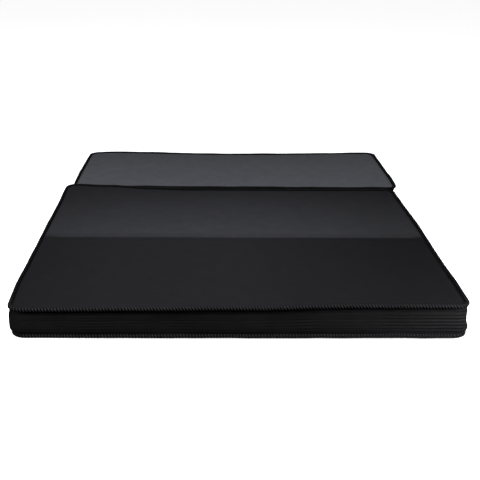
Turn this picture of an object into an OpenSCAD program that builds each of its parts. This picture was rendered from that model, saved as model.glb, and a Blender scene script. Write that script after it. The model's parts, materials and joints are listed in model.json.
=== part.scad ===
// Folding floor mattress: three foam panels in one sewn cover, lying flat.
// +X across the width, +Y towards the rear panel, +Z up. The origin is the middle of the
// footprint on the floor. The front panel folds up and over on a seam at its top face, and
// the rear panel folds down and under on a seam at its bottom face.

/* [Mattress] */
// Width over the piping
width = 1372; // [960:1:1930]
// Length over the piping, lying flat
length = 1905; // [1800:5:2100]
// Height from the floor to the top of the piping
height = 108; // [90:1:160]
// How far the rear panel is sewn on to the right of the other two
rear_offset = 20; // [0:1:25]
// Radius of the panel corners in plan, at the piping's centre line
corner_r = 42; // [30:1:80]

/* [Piping] */
// Outside diameter of the covered piping
piping_d = 13; // [11:0.5:15]
// Thickness of the piping's cover strip
piping_cover_t = 1.2; // [0.8:0.1:1.4]
// Slack between the filler cord and its cover
cord_slack = 0.3; // [0.1:0.1:0.5]
// How far the piping's sewn-in seam allowance reaches in from the border
seam_allowance = 16; // [12:1:20]
// Thickness of the seam allowance
seam_t = 1; // [0.6:0.1:1]

/* [Cover] */
// Thickness of the top and bottom sheets
sheet_t = 1.5; // [1:0.1:1.8]
// Thickness of the border band
band_t = 1.5; // [1:0.1:1.8]

/* [Foam] */
// Space between the border band and the foam, which the zip slider runs in
foam_slack = 2.7; // [2.5:0.1:5]
// How far the seams press the foam's edges back
edge_press = 14; // [12:1:22]

/* [Zips] */
// Length of the zip chain between its stops, shortened where the band's straight part is shorter
zip_len = 520; // [300:5:540]
// Height of the opening in the border band that shows the zip
zip_window = 14; // [13:0.5:20]
// Width of one zip tape
tape_w = 13; // [11:1:18]
// Width of the closed chain
chain_w = 7.6; // [6:0.2:8]
// Length of the slider
slider_len = 15; // [13:1:18]
// Length of the pull tab beyond its crossbar
pull_len = 30; // [22:1:40]

/* [Folds] */
// Space between the pipings of two neighbouring panels
panel_gap = 1; // [0.8:0.1:3]
// Space that each half of a folding seam keeps from the fold's axis plane
fold_split = 0.3; // [0.2:0.1:0.5]

/* [Hidden] */
$fn = 96;
fit = 0.1; // bare clearance between sewn pieces
FRONT = 0;
MIDDLE = 1;
REAR = 2;
PANELS = ["front", "middle", "rear"];
KINDS = ["foam_core", "top_sheet", "bottom_sheet", "side_band",
         "top_piping", "top_piping_cord", "bottom_piping", "bottom_piping_cord",
         "zip_tapes", "zip_coils", "zip_stops", "zip_slider", "zip_pull"];

piping_r = piping_d / 2;
bore_r = piping_r - piping_cover_t;
cord_r = bore_r - cord_slack;
panel_len = length / 3;
fold_y = panel_len / 2;
top_z = height - piping_r;      // centre line of the top piping
bottom_z = piping_r;            // centre line of the bottom piping
sheet_top_z = top_z - seam_t;   // underside of the top sheet
mid_z = height / 2;

// The seam allowance leaves the piping's cover at the middle of the cover's wall
wall_r = (piping_r + bore_r) / 2;
function join_inset(drop) = sqrt(wall_r * wall_r - drop * drop);
top_join = join_inset(1.5 * seam_t);
bottom_join = join_inset(bottom_z - sheet_t - seam_t / 2);
bottom_sheet_inset = sqrt(piping_r * piping_r - pow(bottom_z - sheet_t, 2)) + fit;
band_low = bottom_z + piping_r + fit;
band_high = top_z - piping_r - fit;

// Where each level's outline runs on across a fold: -1 at its front side, 1 at its rear side
TOP_OPEN = [1, -1, 0];
BOTTOM_OPEN = [0, 1, -1];

// A panel's middle across the width, and its border band's two ends along the length
function mid_x(p) = p == REAR ? rear_offset / 2 : -rear_offset / 2;
function axis_y(p, side) = (p - 1) * panel_len + side * fold_y;
function is_fold(p, side) = abs(axis_y(p, side)) < length / 2 - 1;
function end_y(p, side) = axis_y(p, side) - side * (piping_r + (is_fold(p, side) ? panel_gap / 2 : 0));
half_w = width / 2 - piping_r;
zip_y = [for (p = [0:2]) (end_y(p, 1) + end_y(p, -1)) / 2];

// ---- outlines in plan ----

module rounded(x0, x1, y0, y1, r) {
    for (x = [x0 + r, x1 - r])
        for (y = [y0 + r, y1 - r])
            translate([x, y]) circle(r);
    translate([x0 + r, y0]) square([x1 - x0 - 2 * r, y1 - y0]);
    translate([x0, y0 + r]) square([x1 - x0, y1 - y0 - 2 * r]);
}

// A panel's outline, inset from the border, running on to the fold on its open side
module plan(p, inset, open) {
    x0 = mid_x(p) - half_w + inset;
    x1 = mid_x(p) + half_w - inset;
    y0 = end_y(p, -1) + inset;
    y1 = end_y(p, 1) - inset;
    rounded(x0, x1, y0, y1, corner_r - inset);
    if (open == 1)
        translate([x0, (y0 + y1) / 2]) square([x1 - x0, axis_y(p, 1) - fold_split - (y0 + y1) / 2]);
    if (open == -1)
        translate([x0, axis_y(p, -1) + fold_split]) square([x1 - x0, (y0 + y1) / 2 - axis_y(p, -1) - fold_split]);
}

// ---- the piping's path ----

module corner_bend(p, xs, ys, r) {
    translate([mid_x(p) + xs * (half_w - corner_r), end_y(p, ys) - ys * corner_r, 0])
        rotate([0, 0, xs > 0 ? (ys > 0 ? 0 : 270) : (ys > 0 ? 90 : 180)])
            rotate_extrude(angle = 90) translate([corner_r, 0]) circle(r, $fn = 48);
}

module cross_run(p, ys, r) {
    translate([mid_x(p) - half_w + corner_r, end_y(p, ys), 0])
        rotate([0, 90, 0]) cylinder(h = 2 * (half_w - corner_r), r = r, $fn = 48);
}

// A round bar that follows the border, left open where the outline runs on across a fold
module loop(p, z, open, r) {
    y0 = open == -1 ? axis_y(p, -1) + fold_split : end_y(p, -1) + corner_r;
    y1 = open == 1 ? axis_y(p, 1) - fold_split : end_y(p, 1) - corner_r;
    translate([0, 0, z]) {
        for (xs = [-1, 1])
            translate([mid_x(p) + xs * half_w, y1, 0])
                rotate([90, 0, 0]) cylinder(h = y1 - y0, r = r, $fn = 48);
        for (ys = [-1, 1])
            if (open != ys) {
                cross_run(p, ys, r);
                corner_bend(p, -1, ys, r);
                corner_bend(p, 1, ys, r);
            }
    }
}

// The cover strip wrapped round the cord, with its two edges sewn in as one seam allowance
module piping(p, z, open, allowance_z, join) {
    difference() {
        union() {
            loop(p, z, open, piping_r);
            translate([0, 0, allowance_z]) linear_extrude(seam_t) difference() {
                plan(p, join, open);
                allowance_hole(p, open);
            }
        }
        loop(p, z, open, bore_r);
    }
}

// The allowance's inner edge, which runs out through the open side
module allowance_hole(p, open) {
    plan(p, seam_allowance, open);
    if (open != 0)
        translate([mid_x(p) - half_w + seam_allowance, axis_y(p, open) - fold_y / 2])
            square([2 * (half_w - seam_allowance), fold_y]);
}

// ---- sewn cover and foam ----

module foam_core(p) {
    wall = band_t + foam_slack;
    color("#d9d2b4") hull() {
        translate([0, 0, sheet_t + edge_press]) linear_extrude(sheet_top_z - sheet_t - 2 * edge_press)
            plan(p, wall, 0, $fn = 48);
        translate([0, 0, sheet_t]) linear_extrude(sheet_top_z - sheet_t)
            plan(p, wall + edge_press, 0, $fn = 48);
    }
}

module top_sheet(p) {
    color("#38383c") translate([0, 0, sheet_top_z]) linear_extrude(sheet_t)
        plan(p, piping_r + fit, TOP_OPEN[p]);
}

module bottom_sheet(p) {
    color("#202124") linear_extrude(sheet_t) plan(p, bottom_sheet_inset, BOTTOM_OPEN[p]);
}

// The straight part of the band's wall beside a fold carries on to the sheet it is sewn to
module fold_wall(p, side, z0, z1) {
    if (side != 0)
        translate([mid_x(p) - half_w + corner_r, end_y(p, side) - (side > 0 ? band_t : 0), z0])
            cube([2 * (half_w - corner_r), band_t, z1 - z0]);
}

module side_band(p) {
    color("#1d1d20") difference() {
        union() {
            translate([0, 0, band_low]) linear_extrude(band_high - band_low) difference() {
                plan(p, 0, 0);
                plan(p, band_t, 0);
            }
            fold_wall(p, TOP_OPEN[p], mid_z, sheet_top_z);
            fold_wall(p, BOTTOM_OPEN[p], sheet_t, mid_z);
        }
        at_zip(p) outward(-2 * band_t, 0.5) square([zip_run + 2 * stop_len + 2, zip_window], center = true);
    }
}

module top_piping(p) {
    color("#232327") piping(p, top_z, TOP_OPEN[p], sheet_top_z - seam_t, top_join);
}

module bottom_piping(p) {
    color("#232327") piping(p, bottom_z, BOTTOM_OPEN[p], sheet_t, bottom_join);
}

module top_piping_cord(p) {
    color("#e8e4d8") loop(p, top_z, TOP_OPEN[p], cord_r);
}

module bottom_piping_cord(p) {
    color("#e8e4d8") loop(p, bottom_z, BOTTOM_OPEN[p], cord_r);
}

// ---- zip in the right-hand border band ----

chain_in = -band_t;              // inner face of the chain, on the band's inner face
chain_out = 1.3;                 // outer face of the chain
chain_split = 0.6;               // half the space between the two rows of coils
tape_t = 0.8;
stop_len = 4;
tape_over = 4;                   // tape beyond each stop
zip_room = panel_len - 2 * (piping_r + panel_gap / 2 + corner_r); // straight part of the band
zip_run = min(zip_len, zip_room - 2 * (stop_len + tape_over) - 1);
plate_t = 1;
run_fit = 0.3;                   // clearance round everything that slides or swings
slider_back = chain_in - tape_t - run_fit; // outer face of the slider's inner plate
slider_front = chain_out + 0.5;  // inner face of the slider's outer plate
slider_w = chain_w + 2;
bar_r = 0.8;                     // crossbar that the pull swings on
bar_u = slider_front + plate_t + run_fit + bar_r;
bail_in = bar_r + run_fit;       // from the crossbar's axis to the bail's legs
bail_t = 0.9;
bail_w = 2.4;
arm_w = 1.2;
tab_w = 8;
tab_t = 1.4;
slider_rest = zip_run / 2 - slider_len / 2 - 0.5;

// Origin on the outer face of the band, in the middle of the zip
module at_zip(p) {
    translate([mid_x(p) + half_w, zip_y[p], mid_z]) children();
}

// A flat shape, drawn along the zip and upwards, with thickness from u0 to u1 out of the band
module outward(u0, u1) {
    translate([u0, 0, 0]) rotate([90, 0, 90]) linear_extrude(u1 - u0) children();
}

module zip_tapes(p) {
    color("#151517") at_zip(p) outward(chain_in - tape_t, chain_in)
        for (s = [-1, 1])
            translate([0, s * (chain_w / 2 - 1.2 + tape_w / 2)])
                square([zip_run + 2 * (stop_len + tape_over), tape_w], center = true);
}

module zip_coils(p) {
    row_w = chain_w / 2 - chain_split;
    color("#1b1b1d") at_zip(p) outward(chain_in, chain_out)
        for (s = [-1, 1])
            translate([0, s * (chain_split + row_w / 2)])
                square([zip_run, row_w], center = true);
}

module zip_stops(p) {
    color("#8c8e90") at_zip(p) outward(chain_in, chain_out + 0.3)
        for (s = [-1, 1])
            translate([s * (zip_run + stop_len) / 2, 0])
                square([stop_len, chain_w + 0.6], center = true);
}

module slider_plate() {
    nose = slider_len / 2;
    polygon([[-nose, -slider_w / 2], [-nose, slider_w / 2], [nose - 5, slider_w / 2],
             [nose - 1, slider_w / 3], [nose, 0], [nose - 1, -slider_w / 3], [nose - 5, -slider_w / 2]]);
}

module zip_slider(p) {
    color("#6f7173") at_zip(p) translate([0, slider_rest, 0]) {
        outward(slider_front, slider_front + plate_t) slider_plate();
        outward(slider_back - plate_t, slider_back) slider_plate();
        // the post between the two rows of coils
        outward(slider_back, slider_front)
            translate([slider_len / 2 - 8, 0]) square([6, 2 * (chain_split - run_fit)], center = true);
        slider_bail();
    }
}

// The arch over the pull's crossbar
module slider_bail() {
    top = bar_u + bar_r + run_fit;
    for (s = [-1, 1])
        outward(slider_front + plate_t, top + bail_t)
            translate([s * (bail_in + bail_t / 2), 0]) square([bail_t, bail_w], center = true);
    outward(top, top + bail_t) square([2 * bail_in + 2 * bail_t, bail_w], center = true);
}

module zip_pull(p) {
    arm_in = bail_w / 2 + run_fit;
    arm_len = bail_in + bail_t + 1.2;
    color("#4a4b4d") at_zip(p) translate([0, slider_rest, 0]) {
        translate([bar_u, 0, -arm_in - arm_w]) cylinder(h = 2 * (arm_in + arm_w), r = bar_r, $fn = 32);
        outward(bar_u - tab_t / 2, bar_u + tab_t / 2) {
            for (s = [-1, 1])
                translate([-arm_len / 2, s * (arm_in + arm_w / 2)]) square([arm_len, arm_w], center = true);
            difference() {
                union() {
                    translate([-pull_len + tab_w / 2, 0]) circle(tab_w / 2);
                    translate([-pull_len + tab_w / 2, -tab_w / 2])
                        square([pull_len - tab_w / 2 - arm_len, tab_w]);
                }
                translate([-pull_len + tab_w / 2, 0]) circle(1.6);
            }
        }
    }
}

// ---- every node, panel by panel ----

for (p = [FRONT:REAR]) {
    foam_core(p);
    top_sheet(p);
    bottom_sheet(p);
    side_band(p);
    top_piping(p);
    top_piping_cord(p);
    bottom_piping(p);
    bottom_piping_cord(p);
    zip_tapes(p);
    zip_coils(p);
    zip_stops(p);
    zip_slider(p);
    zip_pull(p);
}
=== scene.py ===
# Folding floor mattress: piped cloth cover, foam panels, filler cords and zips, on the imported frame
import json
import math
import bpy
import numpy as np
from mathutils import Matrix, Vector


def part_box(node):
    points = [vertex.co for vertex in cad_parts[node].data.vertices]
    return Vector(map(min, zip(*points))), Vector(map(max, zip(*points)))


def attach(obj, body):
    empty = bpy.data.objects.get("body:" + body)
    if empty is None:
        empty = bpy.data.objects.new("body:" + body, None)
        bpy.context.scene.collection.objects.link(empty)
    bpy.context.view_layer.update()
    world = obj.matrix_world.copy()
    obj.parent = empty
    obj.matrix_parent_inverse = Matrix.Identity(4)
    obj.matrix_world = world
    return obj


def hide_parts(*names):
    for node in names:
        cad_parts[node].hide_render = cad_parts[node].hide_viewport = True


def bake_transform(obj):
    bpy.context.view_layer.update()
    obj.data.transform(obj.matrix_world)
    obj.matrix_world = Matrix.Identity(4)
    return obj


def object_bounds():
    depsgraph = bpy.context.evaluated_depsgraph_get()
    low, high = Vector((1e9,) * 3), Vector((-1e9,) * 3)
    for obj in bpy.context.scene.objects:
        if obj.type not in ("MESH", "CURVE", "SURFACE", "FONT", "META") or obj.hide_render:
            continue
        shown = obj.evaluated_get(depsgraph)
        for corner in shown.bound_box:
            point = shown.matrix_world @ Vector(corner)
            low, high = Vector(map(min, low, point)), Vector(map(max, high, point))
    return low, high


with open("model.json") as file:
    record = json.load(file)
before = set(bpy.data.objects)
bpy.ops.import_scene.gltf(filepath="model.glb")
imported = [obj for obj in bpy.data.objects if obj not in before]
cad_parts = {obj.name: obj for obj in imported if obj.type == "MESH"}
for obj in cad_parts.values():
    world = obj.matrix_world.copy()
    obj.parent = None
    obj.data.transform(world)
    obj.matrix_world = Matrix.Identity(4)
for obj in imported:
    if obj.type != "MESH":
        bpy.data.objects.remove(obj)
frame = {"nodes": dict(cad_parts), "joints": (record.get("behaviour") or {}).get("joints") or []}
cadBounds = [list(corner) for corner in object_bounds()]

mm = 0.001
panelNames = ("front", "middle", "rear")


def span(node):
    low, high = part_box(node)
    return np.array(low), np.array(high)


pipeLow, pipeHigh = span("rear_top_piping")
pipeRadius = (pipeHigh[2] - pipeLow[2]) / 2
topLine = (pipeHigh[2] + pipeLow[2]) / 2  # height of the top piping's centre
baseLine = pipeRadius  # height of the bottom piping's centre
clothTop = span("front_top_sheet")[1][2]
clothThick = clothTop - span("front_top_sheet")[0][2]
walls = {}  # left, right, front and back faces of each panel's border
for name in panelNames:
    low, high = span(name + "_side_band")
    walls[name] = (low[0], high[0], low[1], high[1])
folds = {j["name"]: Vector(j["pos_m"]) for j in frame["joints"] if j["name"].endswith("_fold")}
frontFold = folds["front_fold"][1]
rearFold = folds["rear_fold"][1]
cornerRadius = 42 * mm
sewnShift = walls["rear"][0] - walls["middle"][0]  # the rear panel sits this much to the right
midLevel = (topLine + baseLine) / 2
print("frame read:", len(frame["nodes"]), "nodes")


def deselect():
    if bpy.context.object and bpy.context.object.mode != "OBJECT":
        bpy.ops.object.mode_set(mode="OBJECT")
    bpy.ops.object.select_all(action="DESELECT")


def activate(piece):
    deselect()
    piece.select_set(True)
    bpy.context.view_layer.objects.active = piece


def applyAll(piece):
    activate(piece)
    for modifier in list(piece.modifiers):
        bpy.ops.object.modifier_apply(modifier=modifier.name)


def smoothAll(piece):
    activate(piece)
    bpy.ops.object.shade_smooth()


def thicken(piece, thickness):  # inward from its outer face
    solid = piece.modifiers.new("thickness", "SOLIDIFY")
    solid.thickness = thickness
    solid.offset = -1
    applyAll(piece)
    smoothAll(piece)


def repeatAlong(piece, count, step):
    repeat = piece.modifiers.new("repeat", "ARRAY")
    repeat.count = count
    repeat.use_relative_offset = False
    repeat.use_constant_offset = True
    repeat.constant_offset_displace = step
    applyAll(piece)


def settle(piece):  # place and scale go into the mesh
    activate(piece)
    bpy.ops.object.transform_apply(location=True, rotation=True, scale=True)


def readPoints(piece):
    points = np.empty(len(piece.data.vertices) * 3)
    piece.data.vertices.foreach_get("co", points)
    return points.reshape(-1, 3)


def writePoints(piece, points):
    piece.data.vertices.foreach_set("co", points.ravel())
    piece.data.update()


def smoothStep(value):
    t = np.clip(value, 0, 1)
    return t * t * (3 - 2 * t)


def mix(first, second, share):
    return first + (second - first) * share


def sway(walked, total, waves):  # slow waves that close up on themselves round a loop
    shape = np.zeros_like(walked)
    for turns, size, start in waves:
        shape += size * np.sin(2 * math.pi * turns * walked / total + start)
    return shape


def roundedLoop(left, right, front, back, radius, count):
    # evenly spaced points round a rounded rectangle, anticlockwise, with outward directions
    centres = np.array([(right - radius, back - radius), (left + radius, back - radius),
                        (left + radius, front + radius), (right - radius, front + radius)])
    lengths = []
    for k in range(4):
        lengths += [np.linalg.norm(centres[k] - centres[k - 1]), radius * math.pi / 2]
    ends = np.cumsum(lengths)
    total = ends[-1]
    walked = np.arange(count) * total / count
    stretch = np.searchsorted(ends, walked, side="right")
    along = walked - np.concatenate([[0], ends])[stretch]
    corner = stretch // 2
    bend = stretch % 2 == 1
    angle = corner * math.pi / 2 + np.where(bend, along / radius, 0)
    outward = np.stack([np.cos(angle), np.sin(angle)], 1)
    ahead = np.stack([-np.sin(angle), np.cos(angle)], 1)
    points = np.where(bend[:, None], centres[corner], centres[corner - 1]) + radius * outward
    points = points + np.where(bend, 0, along)[:, None] * ahead
    return points, outward, walked, total


def insideDistance(points, left, right, front, back, radius):
    # how far inside a rounded rectangle each point lies
    dx = np.abs(points[:, 0] - (left + right) / 2) - (right - left) / 2 + radius
    dy = np.abs(points[:, 1] - (front + back) / 2) - (back - front) / 2 + radius
    outside = np.hypot(np.maximum(dx, 0), np.maximum(dy, 0))
    return radius - outside - np.minimum(np.maximum(dx, dy), 0)


def shiftAcrossRearFold(y, reach=60 * mm):
    return sewnShift * smoothStep((y - rearFold + reach) / (2 * reach))


slumpLook = {  # how the soft panels have settled, in mm: (front and middle, rear)
    "topLeft": (7.5, 6.0),  # how far the top edge leans out to the left and right
    "topRight": (5.0, 12.0),
    "baseLeft": (-4.0, -4.0),
    "baseRight": (-3.0, -3.0),
    "baseFront": (0.0, 4.5),  # how far the bottom front edge comes forward, left and right end
    "frontEdge": (-11.2, -9.6, -6.4, 1.8, 0.5),  # lift of the top front edge, from left to right
    "middleEdge": (12.0, 6.0, -4.0, -8.0, -8.0, -8.0, -8.0, -7.0, -5.5),  # middle's rear edge
    "rearEdge": (-4.0, -2.5),
    "rearDip": -9.0,
    "rearCornerDip": -5.0,  # at the far left corner
    "rearFront": -2.0,  # at the rear panel's front edge
    "rearTuckRight": -3.5,  # the rear panel's front right corner is drawn in
    "frontBowLeft": 3.5,  # the front panel's left side bows out
    "middleBowRight": 3.0,
    "middleRearRight": 4.0,  # the middle panel's rear right corner leans out further
    "baseFrontLeft": 2.0,  # lift of the bottom front left corner off the floor
}


def evenCurve(share, values):  # smooth curve through evenly spaced values
    place = np.clip(share, 0, 1) * (len(values) - 1)
    k = np.minimum(place.astype(int), len(values) - 2)
    values = np.array(values)
    return mix(values[k], values[k + 1], smoothStep(place - k))


def zipZone(y):  # 1 beside a zip, 0 well away from its ends
    zone = np.zeros(len(y))
    for panel in panelNames:
        low, high = span(panel + "_zip_stops")
        beyond = np.abs(y - (low[1] + high[1]) / 2) - (high[1] - low[1]) / 2
        zone = np.maximum(zone, smoothStep((55 * mm - beyond) / (35 * mm)))
    return zone


def slump(points, isRear):
    # leans and settles every soft piece in the same way, so that they stay together
    look = slumpLook
    x, y, z = points[:, 0].copy(), points[:, 1].copy(), points[:, 2].copy()
    left, right = walls["rear"][:2] if isRear else walls["middle"][:2]
    high = np.clip(z / topLine, 0, 1)
    across = np.clip((x - left) / (right - left), 0, 1)
    rearShare = np.ones(len(y))
    if not isRear:
        rearShare = (1 - high) * smoothStep((y - rearFold + 40 * mm) / (80 * mm))
    stiff = smoothStep(2 - np.abs(z - midLevel) / (20 * mm)) * zipZone(y)  # the zips stay straight
    alongSide = 0.6 + 0.4 * smoothStep((y - walls["front"][2]) / 0.2)  # less lean at the front corners
    toLeft = smoothStep((0.42 - across) / 0.4) * alongSide
    toRight = smoothStep((across - 0.58) / 0.4) * alongSide
    for side, name, sign in ((toLeft, "Left", -1), (toRight, "Right", 1)):
        top = mix(*look["top" + name], rearShare)
        base = mix(*look["base" + name], rearShare)
        lean = sign * mm * side * mix(base, top, high)
        points[:, 0] += lean * (1 - stiff) if name == "Right" else lean
    bow = np.exp(-((y - walls["front"][2] - 0.21) / 0.13) ** 2)
    points[:, 0] -= look["frontBowLeft"] * mm * toLeft * high * bow
    bow = np.exp(-((y - frontFold - 0.1) / 0.16) ** 2)
    points[:, 0] += look["middleBowRight"] * mm * toRight * high * bow * (1 - stiff)
    if isRear:
        tuck = look["rearTuckRight"] * smoothStep((rearFold + 0.17 - y) / 0.17)
        points[:, 0] += tuck * mm * toRight * high * (1 - stiff)
        edge = mix(*look["rearEdge"], across)
        edge = edge + look["rearDip"] * np.sin(math.pi * across) ** 1.5
        edge = edge + look["rearCornerDip"] * np.exp(-(across / 0.06) ** 2)
        lift = edge * smoothStep((y - rearFold - 0.1) / (walls["rear"][3] - rearFold - 0.1))
        lift = lift + look["rearFront"] * smoothStep((rearFold + 0.1 - y) / 0.1)
    else:
        atRear = smoothStep((y - rearFold + 0.12) / 0.12)
        points[:, 0] += look["middleRearRight"] * mm * toRight * high * atRear * (1 - stiff)
        front = evenCurve(across, look["frontEdge"])
        back = evenCurve(across, look["middleEdge"])
        lift = front * smoothStep((frontFold - 0.06 - y) / (frontFold - 0.06 - walls["front"][2]))
        lift = lift + back * smoothStep((y - 0.06) / (rearFold - 0.06))
        corner = (1 - across) ** 4 * smoothStep((frontFold - 0.25 - y) / 0.3)
        points[:, 2] += look["baseFrontLeft"] * mm * corner * (1 - high)
        forward = mix(*look["baseFront"], across)
        points[:, 1] -= forward * mm * (1 - high) * smoothStep((frontFold - 0.2 - y) / 0.4)
    points[:, 2] += lift * mm * high
    return points


def linearColour(code):  # sRGB hex to linear
    parts = [int(code[k:k + 2], 16) / 255 for k in (1, 3, 5)]
    return [c / 12.92 if c <= 0.04045 else ((c + 0.055) / 1.055) ** 2.4 for c in parts] + [1.0]


def addNode(tree, kind, settings=None, links=None):
    node = tree.nodes.new(kind)
    for key, value in (settings or {}).items():
        if isinstance(key, int) or key in node.inputs:
            node.inputs[key].default_value = value
        else:
            setattr(node, key, value)
    for key, socket in (links or {}).items():
        tree.links.new(socket, node.inputs[key])
    return node


def newMaterial(name):
    material = bpy.data.materials.new(name)
    material.use_nodes = True
    tree = material.node_tree
    tree.nodes.clear()
    shader = addNode(tree, "ShaderNodeBsdfPrincipled")
    addNode(tree, "ShaderNodeOutputMaterial", links={"Surface": shader.outputs[0]})
    return material, tree, shader


def addBump(tree, shader, height, strength, distance):
    bump = addNode(tree, "ShaderNodeBump", {"Strength": strength, "Distance": distance}, {"Height": height})
    tree.links.new(bump.outputs["Normal"], shader.inputs["Normal"])


def colourRamp(tree, source, stops):
    ramp = addNode(tree, "ShaderNodeValToRGB", links={"Fac": source})
    while len(ramp.color_ramp.elements) < len(stops):
        ramp.color_ramp.elements.new(0.5)
    for element, (place, colour) in zip(ramp.color_ramp.elements, stops):
        element.position = place
        element.color = colour
    return ramp.outputs["Color"]


def grey(value):
    return (value, value, value, 1)


def clothMaterial(name, look):
    # woven or knitted cloth: two crossing thread waves, nap patches and a slight sheen from loose fibre ends
    material, tree, shader = newMaterial(name)
    place = addNode(tree, "ShaderNodeTexCoord").outputs["Object"]
    threads = []
    for direction in ("X", "Y"):
        threads.append(addNode(tree, "ShaderNodeTexWave",
                               {"bands_direction": direction, "Scale": 0.314 / look["threadPitch"],
                                "Distortion": 0.6, "Detail": 1.0, "Detail Scale": 2.0},
                               {"Vector": place}).outputs["Fac"])
    weave = addNode(tree, "ShaderNodeMath", {"operation": "MULTIPLY"}, {0: threads[0], 1: threads[1]})
    patches = addNode(tree, "ShaderNodeTexNoise",
                      {"Scale": 1 / look["napPatch"], "Detail": 4.0, "Roughness": 0.62}, {"Vector": place})
    fibres = addNode(tree, "ShaderNodeTexNoise",
                     {"Scale": 1 / look["fibre"], "Detail": 2.0, "Roughness": 0.7}, {"Vector": place})
    blendIn = addNode(tree, "ShaderNodeMath", {"operation": "MULTIPLY_ADD", 1: 0.35},
                      {0: fibres.outputs["Fac"], 2: patches.outputs["Fac"]})
    tone = colourRamp(tree, blendIn.outputs[0],
                      [(0.45, linearColour(look["dark"])), (0.9, linearColour(look["light"]))])
    # painted shade in the grooves between ribs, and under the border's top piping, read from the stored
    # attribute
    if "paintedGrooveShade" in look:
        grooveAndShade = addNode(tree, "ShaderNodeAttribute", {"attribute_name": "grooveAndShade"}).outputs["Fac"]
        stops = [(look["grooveStart"], grey(1)), (look["grooveEnd"], grey(look["paintedGrooveShade"]))]
        tone = multiplyColour(tree, tone, colourRamp(tree, grooveAndShade, stops))
    # painted shade: the piping is darkened away from the front edge, where less light falls
    if "paintedShadeBehindFront" in look:
        y = addNode(tree, "ShaderNodeSeparateXYZ", links={"Vector": place}).outputs["Y"]
        front = walls["front"][2]
        back = addNode(tree, "ShaderNodeMapRange",
                       {"From Min": front + 20 * mm, "From Max": front + 110 * mm}, {"Value": y})
        stops = [(0, grey(1)), (1, linearColour(look["paintedShadeBehindFront"]))]
        tone = multiplyColour(tree, tone, colourRamp(tree, back.outputs["Result"], stops))
    # painted light and shade, panel by panel
    if "alongPaintedLight" in look:
        tone = paintedLightByPanel(tree, place, tone, look)
    tree.links.new(tone, shader.inputs["Base Color"])
    height = addNode(tree, "ShaderNodeMath", {"operation": "MULTIPLY_ADD", 1: 0.5},
                     {0: fibres.outputs["Fac"], 2: weave.outputs[0]})
    addBump(tree, shader, height.outputs[0], look["bump"], look["threadPitch"] * 0.4)
    shader.inputs["Roughness"].default_value = look["roughness"]
    shader.inputs["IOR"].default_value = 1.46
    shader.inputs["Specular IOR Level"].default_value = look.get("specular", 0.25)
    shader.inputs["Sheen Weight"].default_value = look["sheen"]
    shader.inputs["Sheen Roughness"].default_value = look.get("sheenRoughness", 0.45)
    shader.inputs["Sheen Tint"].default_value = linearColour(look["sheenTint"])
    return material


def paintedLightByPanel(tree, place, tone, look):
    # painted light and shade: each panel's cloth colour is lightened or darkened along and across it,
    # standing in for the sheen and shading that the lamps give each panel
    def toneRamp(source, stops):
        return colourRamp(tree, source.outputs["Result"], [(at, linearColour(code)) for at, code in stops])

    length = cadBounds[1][1] - cadBounds[0][1]
    split = addNode(tree, "ShaderNodeSeparateXYZ", links={"Vector": place})
    along = addNode(tree, "ShaderNodeMapRange", {"From Min": -length / 2, "From Max": length / 2},
                    {"Value": split.outputs["Y"]})
    across = addNode(tree, "ShaderNodeMapRange",
                     {"From Min": walls["front"][0], "From Max": walls["front"][1]},
                     {"Value": split.outputs["X"]})
    inFront = addNode(tree, "ShaderNodeMath", {"operation": "LESS_THAN", 1: frontFold},
                      {0: split.outputs["Y"]})
    foldMiddle, foldHalf = (frontFold + rearFold) / 2, (rearFold - frontFold) / 2
    inMiddle = addNode(tree, "ShaderNodeMath", {"operation": "COMPARE", 1: foldMiddle, 2: foldHalf},
                       {0: split.outputs["Y"]})
    tone = multiplyColour(tree, tone, toneRamp(across, look["frontPaintedShade"]), inFront.outputs[0])
    tone = multiplyColour(tree, tone, toneRamp(across, look["middlePaintedShade"]), inMiddle.outputs[0])
    return multiplyColour(tree, tone, toneRamp(along, look["alongPaintedLight"]))


def multiplyColour(tree, first, second, share=None):
    product = addNode(tree, "ShaderNodeMix", {"data_type": "RGBA", "blend_type": "MULTIPLY"})
    product.inputs["Factor"].default_value = 1.0
    if share:
        tree.links.new(share, product.inputs["Factor"])
    tree.links.new(first, product.inputs[6])
    tree.links.new(second, product.inputs[7])
    return product.outputs[2]


pipingLook = {
    "ribPitch": 9.3 * mm,  # along the piping, from rib to rib
    "ribDepth": 1.7 * mm,
    "ribStarts": 2,  # ribs wound side by side
    "ribSharpness": 1.1,
    "ringsPerRib": 8,
    "sides": 16,
    "waver": ((3, 0.5 * mm, 0.4), (7, 0.5 * mm, 2.0), (16, 0.35 * mm, 4.1), (29, 0.2 * mm, 1.3)),
    "cornerSag": 1.6 * mm,
    "topFrontOut": 1.0 * mm,  # how far the front pipings stand out from the border
    "baseFrontOut": 1.8 * mm,
    "baseFrontLift": 1.7 * mm,
    "baseFrontSwell": 0.13,  # the front bottom piping is fuller
}
cordLook = {
    "radius": 4.2 * mm,
    "strandPitch": 24 * mm,
    "strandDepth": 0.9 * mm,
    "ringsPerStrand": 7,
    "sides": 12,
}


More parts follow.
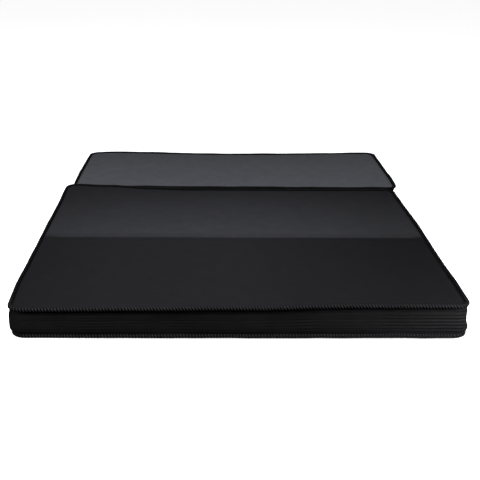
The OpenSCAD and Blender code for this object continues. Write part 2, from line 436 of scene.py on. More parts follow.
def twistedTube(name, path, outward, walked, total, swell,
                radius, sides, pitch, starts, depth, sharpness):
    line = bpy.data.curves.new(name, "CURVE")
    line.dimensions = "3D"
    line.twist_mode = "Z_UP"
    line.bevel_depth = radius
    line.bevel_resolution = sides // 2 - 2
    spline = line.splines.new("POLY")
    spline.points.add(len(path) - 1)
    spline.points.foreach_set("co", np.hstack([path, np.ones((len(path), 1))]).ravel())
    spline.use_cyclic_u = True
    tube = bpy.data.objects.new(name, line)
    bpy.context.scene.collection.objects.link(tube)
    activate(tube)
    bpy.ops.object.convert(target="MESH")
    tube = bpy.context.object
    around = readPoints(tube).reshape(len(path), -1, 3)
    offset = (around - path[:, None]) * swell[:, None, None]
    side = offset[..., 0] * outward[:, None, 0] + offset[..., 1] * outward[:, None, 1]
    angle = np.arctan2(offset[..., 2], side)
    turns = round(total / pitch)
    phase = 2 * math.pi * turns * walked[:, None] / total + starts * angle
    grooveAndShade = (0.5 + 0.5 * np.cos(phase)) ** sharpness
    writePoints(tube, path[:, None] + offset * (1 - depth / radius * grooveAndShade)[..., None])
    # the groove depth is also stored, to paint shade into the grooves
    store = tube.data.attributes.new("grooveAndShade", "FLOAT", "POINT")
    store.data.foreach_set("value", grooveAndShade.ravel())
    smoothAll(tube)
    return tube


def pipingPath(box, level, spacing, jog):
    left, right, front, back = box
    straight = 2 * (right - left + back - front) - (8 - 2 * math.pi) * cornerRadius
    count = round(straight / spacing)
    flat, outward, walked, total = roundedLoop(left, right, front, back, cornerRadius, count)
    swell = np.ones(count)
    lift = sway(walked, total, pipingLook["waver"])
    push = sway(walked[::-1], total, pipingLook["waver"])
    corners = np.abs(outward[:, 0] * outward[:, 1]) * 2  # 1 in the middle of a corner
    spread = np.hanning(161)  # rings that a corner's sag is spread over
    nearCorner = np.convolve(np.concatenate([corners] * 3), spread / spread.sum(), "same")
    nearCorner = nearCorner[count:2 * count]
    if level > midLevel:
        lift = lift - pipingLook["cornerSag"] * nearCorner
        push = push + pipingLook["topFrontOut"] * np.maximum(-outward[:, 1], 0) ** 2
    else:
        lift = np.abs(lift) * 0.6 + 0.4 * pipingLook["cornerSag"] * nearCorner  # it lies on the floor
        fromLeft = smoothStep((flat[:, 0] - left - 0.2) / 0.4)
        atFront = np.maximum(-outward[:, 1], 0) ** 2 * fromLeft * (flat[:, 1] < frontFold - 0.3)
        push = push + pipingLook["baseFrontOut"] * atFront
        lift = lift + pipingLook["baseFrontLift"] * atFront
        swell = 1 + pipingLook["baseFrontSwell"] * atFront
    beside = np.minimum(np.abs(flat[:, 1] - frontFold), np.abs(flat[:, 1] - rearFold)) < 8 * mm
    push = np.where(beside & (np.abs(outward[:, 1]) > 0.3), -np.abs(push) * 0.5, push)
    path = np.column_stack([flat + outward * push[:, None], np.full(count, level) + lift])
    if jog:
        path[:, 0] += shiftAcrossRearFold(path[:, 1])
    return slump(path, box == tuple(walls["rear"])), outward, walked, total, swell


pipings = {  # name: the panels that it goes round, its level and the kind of its nodes
    "shared_top_piping": (("front", "middle"), topLine, "top_piping"),
    "rear_top_piping_cover": (("rear",), topLine, "top_piping"),
    "front_bottom_piping_cover": (("front",), baseLine, "bottom_piping"),
    "shared_bottom_piping": (("middle", "rear"), baseLine, "bottom_piping"),
}


def aroundPanels(members):
    first, last = walls[members[0]], walls[members[-1]]
    return first[0], first[1], first[2], last[3]


def rideOrBlend(piece, members):
    if len(members) == 1:
        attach(piece, members[0] + "_panel")
    elif members == ("front", "middle"):
        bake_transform(piece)
    else:
        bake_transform(piece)


topLook = {
    "cell": 15 * mm,
    "edgeTuck": 4 * mm,  # where the cloth goes under the piping
    "dip": 3.4 * mm,  # how far it sinks beside the piping
    "dipWidth": 6 * mm,
    "sideDip": 5.6 * mm,  # the same along the right side and along the back of the middle panel
    "sideDipWidth": 9 * mm,
    "roll": 1.4 * mm,
    "rollAt": 16 * mm,
    "creaseDepth": 4.2 * mm,
    "creaseWidth": 9 * mm,
    "cap": 3.2 * mm,  # as far as the simulated cloth may rise or sink
    "frames": 20,
}


def clothGrid(name, box, level, cell):
    left, right, front, back = box
    deselect()
    bpy.ops.mesh.primitive_grid_add(
        x_subdivisions=round((right - left) / cell), y_subdivisions=round((back - front) / cell),
        size=1, location=((left + right) / 2, (front + back) / 2, level))
    cloth = bpy.context.object
    cloth.name = name
    cloth.data.name = name
    cloth.scale = (right - left, back - front, 1)
    settle(cloth)
    return cloth


def roundCorners(cloth, box, radius):
    # the square corners are drawn in to quarter circles
    left, right, front, back = box
    points = readPoints(cloth)
    for xEnd, xSign in ((left, -1), (right, 1)):
        for yEnd, ySign in ((front, -1), (back, 1)):
            a = ((points[:, 0] - xEnd) * xSign + radius) / radius
            b = ((points[:, 1] - yEnd) * ySign + radius) / radius
            inCorner = (a > 0) & (b > 0)
            u, v = a[inCorner], b[inCorner]
            points[inCorner, 0] = xEnd + xSign * radius * (u * np.sqrt(1 - v * v / 2) - 1)
            points[inCorner, 1] = yEnd + ySign * radius * (v * np.sqrt(1 - u * u / 2) - 1)
    writePoints(cloth, points)


def simulateCloth(cloth, level, pinned, look):
    # sewn down along its seams, a little larger than its frame and pushed up by the foam
    group = cloth.vertex_groups.new(name="sewn")
    group.add([int(k) for k in np.flatnonzero(pinned)], 1.0, "REPLACE")
    modifier = cloth.modifiers.new("cloth", "CLOTH")
    settings = modifier.settings
    settings.quality = 6
    settings.mass = 0.35
    settings.tension_stiffness = 18
    settings.compression_stiffness = 12
    settings.shear_stiffness = 6
    settings.bending_stiffness = 0.6
    settings.vertex_group_mass = "sewn"
    settings.use_dynamic_mesh = False
    settings.shrink_min = -0.0035
    settings.use_pressure = True
    settings.uniform_pressure_force = 1.2
    settings.effector_weights.gravity = 0
    modifier.collision_settings.use_collision = False
    modifier.point_cache.frame_start = 1
    modifier.point_cache.frame_end = look["frames"]
    for step in range(1, look["frames"] + 1):
        bpy.context.scene.frame_set(step)
    activate(cloth)
    bpy.ops.object.modifier_apply(modifier=modifier.name)
    cloth.vertex_groups.clear()
    bpy.context.scene.frame_set(1)
    points = readPoints(cloth)
    rise = points[:, 2] - level
    print("  simulated rise, mm:", round(rise.min() / mm, 1), round(rise.max() / mm, 1))
    points[:, 2] = level + look["cap"] * np.tanh(rise / max(np.abs(rise).max(), mm) * 1.2)
    writePoints(cloth, points)


def cutRows(cloth, places):
    activate(cloth)
    bpy.ops.object.mode_set(mode="EDIT")
    for y in places:
        bpy.ops.mesh.select_all(action="SELECT")
        bpy.ops.mesh.bisect(plane_co=(0, y, 0), plane_no=(0, 1, 0))
    bpy.ops.object.mode_set(mode="OBJECT")


def topCloth(name, members, look):
    left, right, front, back = aroundPanels(members)
    tuck = look["edgeTuck"]
    box = (left + tuck, right - tuck, front + tuck, back - tuck)
    radius = cornerRadius - tuck
    level = clothTop
    cloth = clothGrid(name, box, level, look["cell"])
    roundCorners(cloth, box, radius)
    creased = len(members) > 1
    if creased:
        rows = [frontFold + d * mm for d in (-16, -11, -7, -4, -2, 0, 2, 4, 7, 11, 16)]
    points = readPoints(cloth)
    pinned = insideDistance(points, *box, radius) < 1 * mm
    if creased:
        pinned |= np.abs(points[:, 1] - frontFold) < look["cell"] * 0.75
    simulateCloth(cloth, level, pinned, look)
    subdivision = cloth.modifiers.new("finer", "SUBSURF")
    subdivision.levels = subdivision.render_levels = 1
    applyAll(cloth)
    if creased:
        cutRows(cloth, rows)
    points = readPoints(cloth)
    inward = np.maximum(insideDistance(points, *box, radius), 0)
    x, y = points[:, 0], points[:, 1]
    deeper = smoothStep((x - box[1] + 40 * mm) / (30 * mm))
    if creased:
        deeper = np.maximum(deeper, smoothStep((y - box[3] + 40 * mm) / (30 * mm)))
        nearLeft = smoothStep((0.3 - np.abs(x + 0.69)) / 0.2)
        deeper = np.maximum(deeper, 0.4 * nearLeft * (y < box[2] + 60 * mm))
    depth = mix(look["dip"], look["sideDip"], deeper)
    width = mix(look["dipWidth"], look["sideDipWidth"], deeper)
    points[:, 2] -= depth * np.exp(-(inward / width) ** 1.6)
    points[:, 2] += look["roll"] * np.exp(-((inward - look["rollAt"]) / (11 * mm)) ** 2)
    if creased:
        away = np.abs(y - frontFold)
        ends = 0.02 + 0.98 * smoothStep((inward - 12 * mm) / (45 * mm))  # the piping holds the crease up
        points[:, 2] -= look["creaseDepth"] * np.exp(-away / look["creaseWidth"]) * ends
        points[:, 2] += 1.2 * mm * np.exp(-((away - 24 * mm) / (14 * mm)) ** 2)
    slow = 0.5 * np.sin(x / 0.21 + 0.6) * np.sin(y / 0.13 + 1.1) + 0.35 * np.sin(x / 0.083 + y / 0.19)
    points[:, 2] += 0.8 * mm * slow * smoothStep(inward / (60 * mm))
    writePoints(cloth, slump(points, not creased))
    thicken(cloth, clothThick)
    return cloth


baseLook = {"cell": 24 * mm, "thickness": 1.2 * mm, "lift": 1.0 * mm}


def baseCloth(name, members, look):
    left, right, front, back = aroundPanels(members)
    tuck = 3.5 * mm
    box = (left + tuck, right - tuck, front + tuck, back - tuck)
    cloth = clothGrid(name, box, look["thickness"], look["cell"])
    roundCorners(cloth, box, cornerRadius - tuck)
    if len(members) > 1:
        cutRows(cloth, [rearFold + d * mm for d in (-12, -8, -5, -2.5, 0, 2.5, 5, 8, 12)])
    points = readPoints(cloth)
    inward = np.maximum(insideDistance(points, *box, cornerRadius - tuck), 0)
    x, y = points[:, 0], points[:, 1]
    waves = 0.5 + 0.3 * np.sin(x / 0.11 + 0.4) * np.sin(y / 0.09) + 0.2 * np.sin(x / 0.05 - y / 0.07)
    points[:, 2] += look["lift"] * waves * smoothStep(inward / (70 * mm))
    points[:, 2] += 1.5 * mm * np.exp(-(inward / (6 * mm)) ** 2)
    if len(members) > 1:
        points[:, 2] += 0.8 * mm * np.exp(-np.abs(y - rearFold) / (6 * mm))
        points[:, 0] += shiftAcrossRearFold(points[:, 1])
    writePoints(cloth, slump(points, False))
    thicken(cloth, look["thickness"])
    return cloth


borderLook = {
    "ribPitch": 10.3 * mm,
    "ribDepth": 1.6 * mm,
    "rowsPerRib": 8,
    "column": 10 * mm,
    "bulge": 4.0 * mm,
    "sideBulge": 7.5 * mm,
    "foldBulge": 1.0 * mm,  # beside a fold, where the neighbouring wall is close
    "zipBulge": 0.8 * mm,
    "zipRecess": 0.5 * mm,  # drawn in beside the zip, clear of its pull
    "tuck": 4.6 * mm,  # how far it draws in under the top piping, at the front and back
    "sideTuck": 1.6 * mm,  # the same at the sides
    "windowOver": 2.6 * mm,  # the zip's window reaches this much above and below the stops
    "low": 9 * mm,
    "high": 99 * mm,
    "wander": 1.3 * mm,  # how far the ribs stray up and down
    "thickness": 1.4 * mm,
}


def ribbedBorder(name, panel, look):
    left, right, front, back = walls[panel]
    zipLow, zipHigh = span(panel + "_zip_stops")
    tall = look["high"] - look["low"]
    rows = round(tall / look["ribPitch"] * look["rowsPerRib"])
    around = 2 * (right - left + back - front) - (8 - 2 * math.pi) * cornerRadius
    columns = round(around / look["column"])
    deselect()
    bpy.ops.mesh.primitive_grid_add(x_subdivisions=columns, y_subdivisions=rows, size=1)
    border = bpy.context.object
    border.name = name
    border.data.name = name
    flat = readPoints(border)
    flatLoop, outward, walked, total = roundedLoop(left, right, front, back, cornerRadius, columns)
    column = np.rint((flat[:, 0] + 0.5) * columns).astype(int) % columns
    z = look["low"] + (flat[:, 1] + 0.5) * tall
    place, out, s = flatLoop[column], outward[column], walked[column]
    height = (z - midLevel) / (tall / 2)
    besideFold = np.zeros(len(z))
    for fold in (frontFold, rearFold):
        besideFold = np.maximum(besideFold, (np.abs(place[:, 1] - fold) < 30 * mm) * np.abs(out[:, 1]))
    zipMiddle = (zipLow[1] + zipHigh[1]) / 2
    beyondZip = np.abs(place[:, 1] - zipMiddle) - (zipHigh[1] - zipLow[1]) / 2
    zipWall = smoothStep((out[:, 0] - 0.5) / 0.4) * smoothStep((20 * mm - beyondZip) / (50 * mm))
    nearZip = (out[:, 0] > 0.5) * smoothStep((30 * mm - beyondZip) / (16 * mm))  # under the pull tab
    nearZip = nearZip * smoothStep(1.6 - np.abs(z - midLevel) / (14 * mm))
    atSide = np.abs(out[:, 0])
    bulge = mix(look["bulge"], look["sideBulge"], atSide)
    bulge = mix(bulge, look["foldBulge"], besideFold)
    bulge = bulge * (1 + 0.25 * sway(s, total, ((5, 1, 0.3), (11, 0.7, 2.2), (23, 0.5, 1.0))))
    bulge = mix(bulge, look["zipBulge"], zipWall)
    belly = (1 - np.abs(height) ** np.where(height > 0, 2.4, 3.2 + 3.8 * atSide)) * (1 - 0.28 * height)
    tucked = smoothStep((height - 0.4) / 0.45) * (1 - 0.6 * smoothStep((height - 0.86) / 0.1))
    push = bulge * belly - mix(look["tuck"], look["sideTuck"], atSide) * tucked
    push = push - 2.4 * mm * smoothStep((-height - 0.82) / 0.18)
    push = mix(push, -look["zipRecess"], nearZip)
    corner = np.abs(out[:, 0] * out[:, 1]) * 2
    strayWaves = sway(s, total, ((9, 0.5, 0.0), (21, 0.35, 1.9), (37, 0.2, 3.0)))
    stray = look["wander"] * strayWaves * (1 - np.abs(height) ** 3)
    rib = (0.5 + 0.5 * np.cos(2 * math.pi * (z + stray * (1 - nearZip)) / look["ribPitch"])) ** 1.2
    crisp = 0.28 + 0.62 * smoothStep((place[:, 0] - 0.38) / 0.3)  # ribs show most towards the right, where their painted groove shade is also strongest
    crisp = crisp + 0.1 * sway(s, total, ((13, 1, 0.5), (31, 1, 2.1)))
    rib = rib * crisp * (1 - nearZip) * smoothStep((0.96 - height) / 0.12)
    push = push - look["ribDepth"] * rib
    push = push + 0.7 * mm * corner * np.sin(s / (4.1 * mm)) * np.sin(height * 2.1 + s / 0.03)
    points = np.column_stack([place + out * push[:, None], z])
    writePoints(border, slump(points, panel == "rear"))
    paintedBorderShade = 0.95 * smoothStep((height + 0.08) / 0.8)  # painted shadow: darker under the top piping, where the border is tucked in
    # painted shade: darker towards the bottom of the border
    paintedBorderShade = np.maximum(paintedBorderShade, 0.42 * smoothStep((-height - 0.45) / 0.5))
    store = border.data.attributes.new("grooveAndShade", "FLOAT", "POINT")
    store.data.foreach_set("value", np.maximum(rib, paintedBorderShade * (1 - nearZip)))
    activate(border)
    bpy.ops.object.mode_set(mode="EDIT")
    bpy.ops.mesh.select_all(action="SELECT")
    bpy.ops.mesh.remove_doubles(threshold=0.01 * mm)
    bpy.ops.mesh.select_all(action="DESELECT")
    bpy.ops.object.mode_set(mode="OBJECT")
    middle = (zipLow + zipHigh) / 2
    halfTall = (zipHigh[2] - zipLow[2]) / 2 + look["windowOver"]
    halfLong = (zipHigh[1] - zipLow[1]) / 2 + 2 * mm
    for face in border.data.polygons:  # the window that shows the zip
        c = face.center
        face.select = bool(c.x > right - 15 * mm and abs(c.z - middle[2]) < halfTall
                           and abs(c.y - middle[1]) < halfLong)
    bpy.ops.object.mode_set(mode="EDIT")
    bpy.ops.mesh.delete(type="FACE")
    bpy.ops.object.mode_set(mode="OBJECT")
    turnOutward(border)
    thicken(border, look["thickness"])
    return border


def turnOutward(piece):
    # an open ring's faces are turned so that they look away from its middle
    centre = readPoints(piece).mean(0)
    total = 0
    for face in piece.data.polygons:
        total += face.area * (Vector(face.center) - Vector(centre)).dot(face.normal)
    if total < 0:
        piece.data.flip_normals()


foamLook = {
    "crown": 1.2 * mm,
    "voxel": 12 * mm,
    "inset": 1.5 * mm,
    "edgeRound": 16 * mm,
    "cornerRound": 36 * mm,
}


def foamBlock(name, panel, look):
    low, high = span(panel + "_foam_core")
    deselect()
    bpy.ops.mesh.primitive_cube_add(size=1, location=(low + high) / 2)
    foam = bpy.context.object
    foam.name = name
    foam.data.name = name
    foam.scale = high - low - 2 * np.array([look["inset"], look["inset"], look["crown"]])
    settle(foam)
    for edgeKind, width, segments in (("upright", look["cornerRound"], 6), ("level", look["edgeRound"], 4)):
        activate(foam)
        bpy.ops.object.mode_set(mode="EDIT")
        bpy.ops.mesh.select_all(action="DESELECT")
        bpy.ops.object.mode_set(mode="OBJECT")
        for edge in foam.data.edges:
            a, b = (foam.data.vertices[k].co for k in edge.vertices)
            upright = abs(a.z - b.z) > 1 * mm
            top, base = high[2] - look["crown"], low[2] + look["crown"]
            level = all(min(abs(p.z - top), abs(p.z - base)) < 0.1 * mm for p in (a, b))
            edge.select = upright if edgeKind == "upright" else level
        bpy.ops.object.mode_set(mode="EDIT")
        bpy.ops.mesh.bevel(offset=width, segments=segments, affect="EDGES")
        bpy.ops.object.mode_set(mode="OBJECT")
    foam.data.remesh_voxel_size = look["voxel"]
    activate(foam)
    bpy.ops.object.voxel_remesh()
    points = readPoints(foam)
    middle = (low + high) / 2
    half = (high - low) / 2
    local = (points - middle) / half
    crown = (1 - local[:, 0] ** 4) * (1 - local[:, 1] ** 4) * look["crown"]
    points[:, 2] += crown * np.sign(local[:, 2]) * smoothStep(np.abs(local[:, 2]) * 1.4 - 0.3)
    writePoints(foam, slump(points, panel == "rear"))
    smoothAll(foam)
    return foam


zipLook = {
    "toothPitch": 2.0 * mm,
    "toothLength": 1.15 * mm,
    "toothReach": 4.5 * mm,
    "toothTall": 2.5 * mm,
    "bevel": 0.25 * mm,
    "edge": 0.28 * mm,  # rounding on the metal pieces
    "stitchPitch": 4.0 * mm,
    "stitchLong": 2.9 * mm,
    "stitchWide": 0.55 * mm,
    "stitchInset": 3.2 * mm,
    "stitchSink": 0.35 * mm,  # the border is drawn in beside the zip
}


def roundedBar(name, size, centre, bevel, segments=1):
    deselect()
    bpy.ops.mesh.primitive_cube_add(size=1, location=centre)
    bar = bpy.context.object
    bar.name = name
    bar.data.name = name
    bar.scale = size
    settle(bar)
    edge = bar.modifiers.new("edge", "BEVEL")
    edge.width = bevel
    edge.segments = segments
    applyAll(bar)
    return bar


def joinPieces(name, pieces):
    deselect()
    for piece in pieces:
        piece.select_set(True)
    bpy.context.view_layer.objects.active = pieces[0]
    bpy.ops.object.join()
    pieces[0].name = name
    pieces[0].data.name = name
    return pieces[0]


def zipChain(name, panel, look):
    low, high = span(panel + "_zip_coils")
    middle = (low + high) / 2
    count = round((high[1] - low[1]) / look["toothPitch"])
    rows = []
    for side in (-1, 1):
        start = low[1] + look["toothPitch"] * (0.25 if side < 0 else 0.75)
        reachMiddle = side * (high[2] - low[2] - look["toothReach"]) / 2
        tooth = roundedBar(name + "_row", (look["toothTall"], look["toothLength"], look["toothReach"]),
                           (middle[0], start, middle[2] + reachMiddle), look["bevel"])
        repeatAlong(tooth, count, (0, look["toothPitch"], 0))
        rows.append(tooth)
        rows.append(roundedBar(name + "_core", (1.5 * mm, high[1] - low[1], 0.9 * mm),
                               (middle[0] + 0.9 * mm, middle[1], middle[2] + side * 3.1 * mm), 0.3 * mm, 2))
    return joinPieces(name, rows)


def zipStitching(name, panel, look):
    low, high = span(panel + "_zip_stops")
    middle = (low + high) / 2
    right = walls[panel][1]
    rows = []
    count = round((high[1] - low[1]) / look["stitchPitch"]) + 1
    halfTall = (high[2] - low[2]) / 2 + borderLook["windowOver"] + look["stitchInset"]
    size = (look["stitchWide"], look["stitchLong"], look["stitchWide"])
    for side in (-1, 1):
        start = (right - look["stitchSink"], low[1], middle[2] + side * halfTall)
        stitch = roundedBar(name, size, start, look["stitchWide"] * 0.35)
        repeatAlong(stitch, count, (0, look["stitchPitch"], 0))
        rows.append(stitch)
    return joinPieces(name, rows)


def easedCopy(name, node, look):
    # the frame's own shape with its edges rounded over
    piece = frame["nodes"][node].copy()
    piece.data = piece.data.copy()
    piece.name = name
    piece.data.name = name
    for key in list(piece.keys()):
        del piece[key]
    piece.parent = None
    bpy.context.scene.collection.objects.link(piece)
    activate(piece)
    bpy.ops.object.mode_set(mode="EDIT")
    bpy.ops.mesh.select_all(action="SELECT")
    bpy.ops.mesh.remove_doubles(threshold=0.005 * mm)
    bpy.ops.mesh.dissolve_limited(angle_limit=math.radians(1))
    bpy.ops.object.mode_set(mode="OBJECT")
    edge = piece.modifiers.new("edge", "BEVEL")
    edge.width = look["edge"]
    edge.segments = 2
    edge.limit_method = "ANGLE"
    edge.angle_limit = math.radians(35)
    applyAll(piece)
    bpy.ops.object.shade_smooth_by_angle(angle=math.radians(40))
    return piece


topClothLook = {  # brushed polyester knit: matte charcoal with a soft nap
    "threadPitch": 1.1 * mm, "napPatch": 45 * mm, "fibre": 1.6 * mm,
    "dark": "#434448", "light": "#4a4b50", "bump": 0.35, "roughness": 0.9,
    "sheen": 0.04, "sheenTint": "#8a8a92", "specular": 0.1,
    "alongPaintedLight": (  # painted light, from the front edge to the rear edge: lightest on the rear panel
        (0.0, "#6a696d"), (0.325, "#6a696d"), (0.332, "#858488"), (0.336, "#a2a1a4"), (0.355, "#b5b4b6"),
        (0.5, "#9a999c"), (0.655, "#6e6d71"), (0.667, "#6e6d71"), (0.671, "#ffffff"), (0.85, "#f8f8f8"),
        (1.0, "#e6e6e6")),
    "middlePaintedShade": (  # painted shade across the middle panel, from left to right
        (0.0, "#d8d8d8"), (0.2, "#f6f6f6"), (0.5, "#ffffff"),
        (0.72, "#efefef"), (0.88, "#d6d6d6"), (1.0, "#cbcbcb")),
    # painted shade across the front panel, from left to right: darker towards the right
    "frontPaintedShade": (
        (0.0, "#d0d0d0"), (0.2, "#f8f8f8"), (0.5, "#ffffff"),
        (0.72, "#d0d0d0"), (0.88, "#9c9c9c"), (1.0, "#8a8a8a")),
}
borderClothLook = {  # ribbed stretch knit: near black
    "threadPitch": 1.3 * mm, "napPatch": 60 * mm, "fibre": 1.4 * mm,
    "dark": "#101012", "light": "#161618", "bump": 0.4, "roughness": 0.75,
    "sheen": 0.03, "sheenTint": "#707078", "specular": 0.2,
    # painted shade: the rib grooves are darkened
    "paintedGrooveShade": 0.2, "grooveStart": 0.1, "grooveEnd": 0.9,
}
pipingClothLook = {  # wound polyester braid: slightly shiny on the ridges
    "threadPitch": 0.9 * mm, "napPatch": 30 * mm, "fibre": 1.2 * mm,
    "dark": "#303033", "light": "#3d3d40", "bump": 0.3, "roughness": 0.7,
    "sheen": 0.0, "sheenTint": "#8a8a92", "specular": 0.05,
    # painted shade: the grooves between the ribs are darkened almost to black
    "paintedGrooveShade": 0.01, "grooveStart": 0.02, "grooveEnd": 0.34,
    "paintedShadeBehindFront": "#a8a8a8",  # painted shade: tone away from the front edge, which leaves the front run of piping lighter
}
baseClothLook = {  # plain woven lining
    "threadPitch": 1.6 * mm, "napPatch": 80 * mm, "fibre": 2.2 * mm,
    "dark": "#161618", "light": "#1e1e21", "bump": 0.5, "roughness": 0.9,
    "sheen": 0.05, "sheenTint": "#606068",
}
tapeClothLook = {  # woven zip tape
    "threadPitch": 0.8 * mm, "napPatch": 20 * mm, "fibre": 1.0 * mm,
    "dark": "#101012", "light": "#17171a", "bump": 0.5, "roughness": 0.85,
    "sheen": 0.05, "sheenTint": "#606068",
}
cordClothLook = {  # twisted cotton filler cord, undyed
    "threadPitch": 1.0 * mm, "napPatch": 25 * mm, "fibre": 1.4 * mm,
    "dark": "#cfc9b8", "light": "#e6e1d2", "bump": 0.5, "roughness": 0.9,
    "sheen": 0.1, "sheenTint": "#ffffff",
}


def foamMaterial():
    # flexible polyurethane foam: cream, yellowing in patches, with cells drawn at 3 mm so that they show
    material, tree, shader = newMaterial("polyurethane_foam_cut")
    place = addNode(tree, "ShaderNodeTexCoord").outputs["Object"]
    cells = addNode(tree, "ShaderNodeTexVoronoi", {"Scale": 1 / (3 * mm)}, {"Vector": place})
    patches = addNode(tree, "ShaderNodeTexNoise", {"Scale": 9.0, "Detail": 3.0}, {"Vector": place})
    tone = colourRamp(tree, patches.outputs["Fac"],
                      [(0.3, linearColour("#d8cfae")), (0.7, linearColour("#e7e0c6"))])
    tree.links.new(tone, shader.inputs["Base Color"])
    addBump(tree, shader, cells.outputs["Distance"], 0.6, 0.8 * mm)
    shader.inputs["Roughness"].default_value = 0.95
    return material


def nylonMaterial():
    # moulded nylon: dark, with faint flow marks
    material, tree, shader = newMaterial("moulded_nylon_black")
    place = addNode(tree, "ShaderNodeTexCoord").outputs["Object"]
    flow = addNode(tree, "ShaderNodeTexNoise", {"Scale": 900.0, "Detail": 2.0}, {"Vector": place})
    tone = colourRamp(tree, flow.outputs["Fac"],
                      [(0.3, linearColour("#151517")), (0.7, linearColour("#1f1f22"))])
    tree.links.new(tone, shader.inputs["Base Color"])
    addBump(tree, shader, flow.outputs["Fac"], 0.2, 0.1 * mm)
    shader.inputs["Roughness"].default_value = 0.38
    shader.inputs["IOR"].default_value = 1.53
    return material


def zipMetalMaterial():
    # die-cast zinc with a black nickel finish, rubbed lighter where it is handled
    material, tree, shader = newMaterial("black_nickel_zinc")
    place = addNode(tree, "ShaderNodeTexCoord").outputs["Object"]
    rub = addNode(tree, "ShaderNodeTexNoise",
                  {"Scale": 160.0, "Detail": 5.0, "Roughness": 0.65}, {"Vector": place})
    tone = colourRamp(tree, rub.outputs["Fac"],
                      [(0.35, linearColour("#3a3b3e")), (0.75, linearColour("#77797d"))])
    shine = addNode(tree, "ShaderNodeMapRange", {"To Min": 0.28, "To Max": 0.5},
                    {"Value": rub.outputs["Fac"]})
    tree.links.new(tone, shader.inputs["Base Color"])
    tree.links.new(shine.outputs["Result"], shader.inputs["Roughness"])
    addBump(tree, shader, rub.outputs["Fac"], 0.15, 0.1 * mm)
    shader.inputs["Metallic"].default_value = 1.0
    return material


topClothFinish = clothMaterial("brushed_polyester_charcoal", topClothLook)
borderFinish = clothMaterial("ribbed_knit_black", borderClothLook)
pipingFinish = clothMaterial("wound_braid_black", pipingClothLook)
baseFinish = clothMaterial("woven_lining_black", baseClothLook)
tapeFinish = clothMaterial("woven_tape_black", tapeClothLook)
cordFinish = clothMaterial("cotton_cord_natural", cordClothLook)
foamFinish = foamMaterial()
nylonFinish = nylonMaterial()
metalFinish = zipMetalMaterial()


def finishPiece(piece, material):
    piece.data.materials.clear()
    piece.data.materials.append(material)


for name, (members, level, kind) in pipings.items():
    spacing = pipingLook["ribPitch"] / pipingLook["ringsPerRib"]
    path = pipingPath(aroundPanels(members), level, spacing, members[-1] == "rear" and len(members) > 1)
    cover = twistedTube(name, *path, pipeRadius, pipingLook["sides"], pipingLook["ribPitch"],
                        pipingLook["ribStarts"], pipingLook["ribDepth"], pipingLook["ribSharpness"])
    if level < midLevel:
        points = readPoints(cover)
        points[:, 2] = np.maximum(points[:, 2], 0)
        writePoints(cover, points)
    finishPiece(cover, pipingFinish)
    rideOrBlend(cover, members)
    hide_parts(*[f"{m}_{kind}" for m in members])
    step = max(1, round(cordLook["strandPitch"] / cordLook["ringsPerStrand"] / spacing))
    line, outward, walked, total, swell = path
    thinned = (line[::step], outward[::step], walked[::step], total, swell[::step])
    cord = twistedTube(name + "_filler", *thinned, cordLook["radius"], cordLook["sides"],
                       cordLook["strandPitch"], 3, cordLook["strandDepth"], 1.0)
    finishPiece(cord, cordFinish)
    rideOrBlend(cord, members)
    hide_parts(*[f"{m}_{kind}_cord" for m in members])
print("pipings and filler cords done")

for panel in panelNames:
    border = ribbedBorder(panel + "_border", panel, borderLook)
    finishPiece(border, borderFinish)
    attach(border, panel + "_panel")
    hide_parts(panel + "_side_band")
    high = borderLook["high"] - borderLook["low"]
print("borders done")

for name, members in (("lying_cloth", ("front", "middle")), ("rear_lying_cloth", ("rear",))):
    cloth = topCloth(name, members, topLook)
    finishPiece(cloth, topClothFinish)
    rideOrBlend(cloth, members)
    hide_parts(*[m + "_top_sheet" for m in members])
print("top cloths done")

for name, members in (("front_base_cloth", ("front",)), ("shared_base_cloth", ("middle", "rear"))):
    cloth = baseCloth(name, members, baseLook)
    finishPiece(cloth, baseFinish)
    rideOrBlend(cloth, members)
    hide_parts(*[m + "_bottom_sheet" for m in members])
print("base cloths done")

for panel in panelNames:
    foam = foamBlock(panel + "_foam", panel, foamLook)
    finishPiece(foam, foamFinish)
    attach(foam, panel + "_panel")
    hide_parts(panel + "_foam_core")
    chain = zipChain(panel + "_zip_teeth", panel, zipLook)
    finishPiece(chain, nylonFinish)
    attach(chain, panel + "_panel")
    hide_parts(panel + "_zip_coils")
    stitching = zipStitching(panel + "_zip_stitching", panel, zipLook)
    finishPiece(stitching, tapeFinish)
    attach(stitching, panel + "_panel")
    for part, body in (("stops", "panel"), ("slider", "slider"), ("pull", "pull")):
        metal = easedCopy(f"{panel}_zip_{part}_metal", f"{panel}_zip_{part}", zipLook)
        finishPiece(metal, metalFinish)
        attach(metal, f"{panel}_{body}")
        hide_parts(f"{panel}_zip_{part}")
    tapes = frame["nodes"][panel + "_zip_tapes"]
    tapes.data.materials.clear()
    tapes.data.materials.append(tapeFinish)
print("foam and zips done")


studio = {
    "sky": 0.05,
    "horizon": 0.02,
    "below": 0.02,
    "floorGlow": 0.9,
    "lights": (  # name, place, size, power
        ("key_softbox", (-0.3, -1.6, 3.9), 1.5, 200.0),
        ("back_softbox", (-0.4, 3.2, 2.8), 2.6, 12.0),
        ("right_softbox", (0.97, -1.24, 0.36), 0.26, 6.6),
        ("left_softbox", (-1.7, -1.8, 1.1), 0.6, 16.0),
    ),
}
cameraLook = {
    "lens": 68.30,
    "place": (-0.1101, -3.4077, 1.1758),
    "down": 19.362,
    "turn": -2.176,
    "roll": 0.896,
}

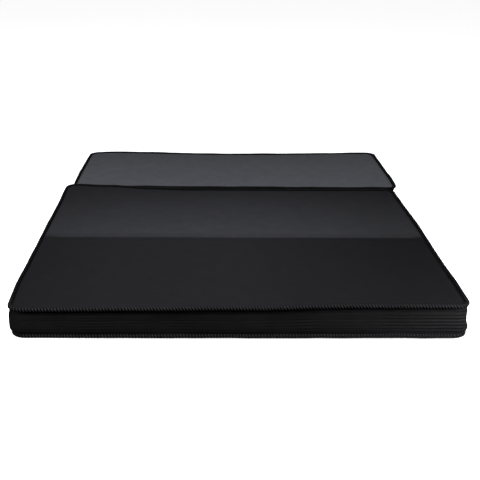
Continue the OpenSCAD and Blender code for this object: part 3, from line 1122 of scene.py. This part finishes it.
deselect()
bpy.ops.mesh.primitive_plane_add(size=40, location=(0, 0, -0.0004))
floor = bpy.context.object
floor.name = "floor"
settle(floor)
floorMaterial, _, floorShader = newMaterial("matte_white_paint")
floorShader.inputs["Base Color"].default_value = linearColour("#f4f4f4")
floorShader.inputs["Roughness"].default_value = 0.9
floorShader.inputs["Specular IOR Level"].default_value = 0.1
floorShader.inputs["Emission Color"].default_value = linearColour("#ffffff")
floorShader.inputs["Emission Strength"].default_value = studio["floorGlow"]
floor.visible_diffuse = False
floor.visible_glossy = False
floor.data.materials.append(floorMaterial)

world = bpy.data.worlds.new("studio")
bpy.context.scene.world = world
world.use_nodes = True
skyTree = world.node_tree
heading = addNode(skyTree, "ShaderNodeTexCoord").outputs["Generated"]
upward = addNode(skyTree, "ShaderNodeSeparateXYZ", links={"Vector": heading}).outputs["Z"]
level = addNode(skyTree, "ShaderNodeMapRange", {"From Min": -1.0, "From Max": 1.0}, {"Value": upward})
glow = colourRamp(skyTree, level.outputs["Result"],
                  [(0.45, grey(studio["below"])), (0.52, grey(studio["horizon"])),
                   (0.85, grey(studio["sky"]))])
skyTree.links.new(glow, skyTree.nodes["Background"].inputs["Color"])


def softLight(name, place, size, power):
    light = bpy.data.lights.new(name, "AREA")
    light.shape = "SQUARE"
    light.size = size
    light.energy = power
    lamp = bpy.data.objects.new(name, light)
    bpy.context.scene.collection.objects.link(lamp)
    lamp.location = place
    lamp.visible_camera = False
    lamp.rotation_euler = (Vector((0, 0, 0.05)) - Vector(place)).to_track_quat("-Z", "Y").to_euler()


for name, place, size, power in studio["lights"]:
    softLight(name, place, size, power)

camera = bpy.data.cameras.new("camera")
camera.lens = cameraLook["lens"]
camera.sensor_width = 36
camera.clip_end = 100
view = bpy.data.objects.new("camera", camera)
bpy.context.scene.collection.objects.link(view)
view.location = cameraLook["place"]
view.rotation_mode = "XYZ"
yaw, pitch, roll = (math.radians(cameraLook[k]) for k in ("turn", "down", "roll"))
forward = Vector((-math.sin(yaw) * math.cos(pitch), math.cos(yaw) * math.cos(pitch), -math.sin(pitch)))
view.rotation_euler = forward.to_track_quat("-Z", "Y").to_euler()
view.rotation_euler.rotate_axis("Z", roll)
bpy.context.scene.camera = view
bpy.context.scene.view_settings.view_transform = "Standard"
print("studio done")
